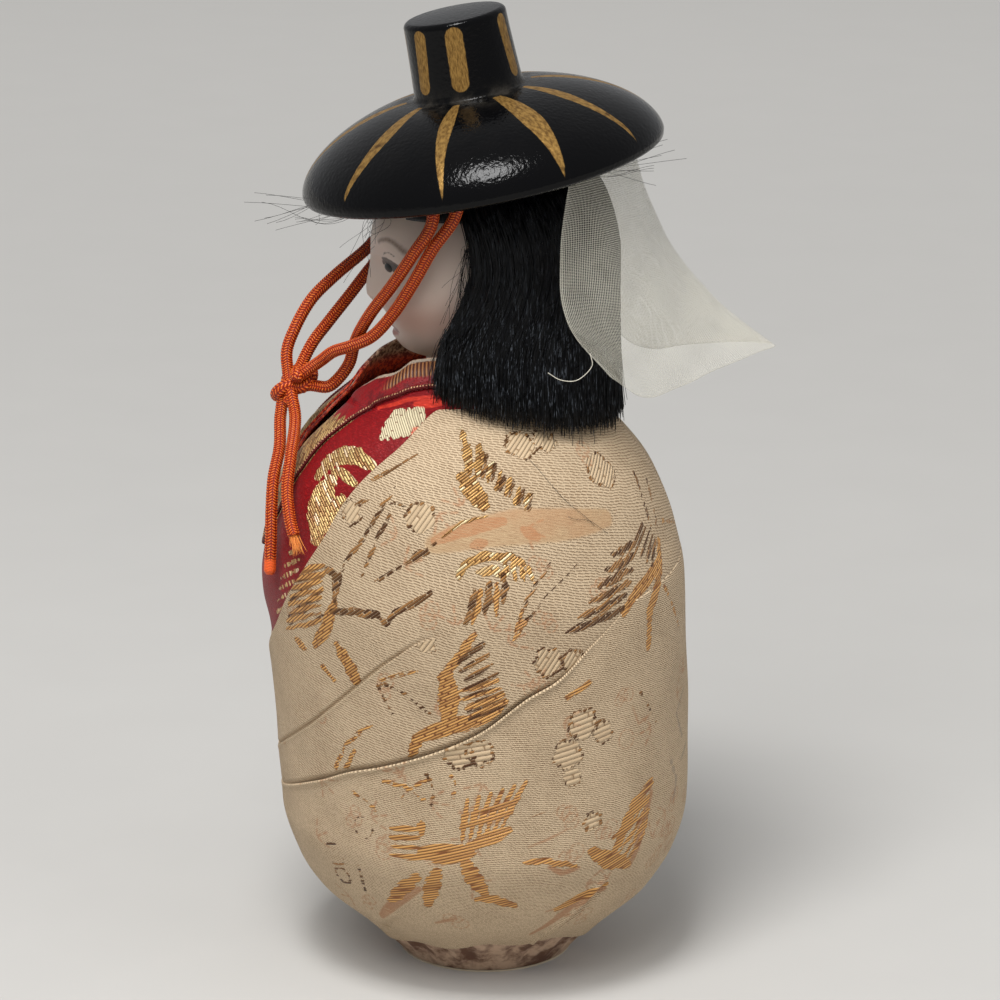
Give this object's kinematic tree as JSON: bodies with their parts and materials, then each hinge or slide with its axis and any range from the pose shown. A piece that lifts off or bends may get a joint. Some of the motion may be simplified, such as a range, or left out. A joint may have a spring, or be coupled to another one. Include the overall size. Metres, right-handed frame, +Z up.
{
  "type": "hime daruma doll",
  "caption": "Limbless court-lady doll in brocade robes on a small round foot, with a turning head, a lacquered brimmed hat with a gauze veil, and tied chin cords.",
  "frame": {"origin": "centre of the foot's underside, on the surface the doll stands on", "axes": "+Z up, -Y the way the doll faces, +X the doll's own left"},
  "size_m": [0.0738, 0.0887, 0.1694],
  "materials": {
    "base_paper": "matt paper sheet",
    "turned_wood": "bare turned wood",
    "moulded_paper": "moulded paper pulp",
    "clay": "dried clay",
    "mottled_cloth": "mottled brown and off-white",
    "cream_brocade": "ribbed silk brocade with gold and brown figures",
    "red_brocade": "red silk with gold figures",
    "collar_silk": "red and gold silk with a pale folded edge",
    "collar_lining": "taupe patterned silk",
    "gold_edging": "gold thread cord",
    "face_white": "shell-white paint, satin",
    "eye_glass": "dark glass",
    "hair": "black silk strands",
    "black_lacquer": "black lacquer with gold brush strokes",
    "pad_felt": "felt",
    "orange_cord": "orange-red braid",
    "gauze": "sheer ivory gauze"
  },
  "bodies": {
    "doll_body": {"base_sheet": "base_paper", "base_board": "turned_wood", "body_core": "moulded_paper", "ballast_weight": "clay", "neck_bush": "turned_wood", "foot_cover": "mottled_cloth", "skirt_wrap": "cream_brocade", "robe_left": "cream_brocade", "robe_right": "cream_brocade", "robe_red": "red_brocade", "collar_middle": "collar_silk", "collar_inner": "collar_lining", "collar_edging": "gold_edging"},
    "head_body": {"head": "face_white", "eye_left": "eye_glass", "eye_right": "eye_glass", "neck_peg": "turned_wood", "hair_bob": "hair"},
    "hat_body": {"hat": "black_lacquer", "hat_pad": "pad_felt", "cord_left_front": "orange_cord", "cord_left_back": "orange_cord", "cord_right_front": "orange_cord", "cord_right_back": "orange_cord", "cord_knot": "orange_cord", "cord_tail_long": "orange_cord", "cord_tail_short": "orange_cord"},
    "veil_body": {"veil": "gauze"}
  },
  "joints": [
    {"name": "head_turn", "type": "hinge", "parent": "doll_body", "child": "head_body", "pos_m": [0, -0.0042, 0.1], "axis": [0, 0, 1], "range_deg": [-15, 15]},
    {"name": "hat_lift", "type": "slide", "parent": "head_body", "child": "hat_body", "axis": [0, 0, 1], "range_m": [0, 0.07]},
    {"name": "veil_swing", "type": "hinge", "parent": "hat_body", "child": "veil_body", "pos_m": [0, 0.0245, 0.1465], "axis": [1, 0, 0], "range_deg": [0, 30]}
  ]
}
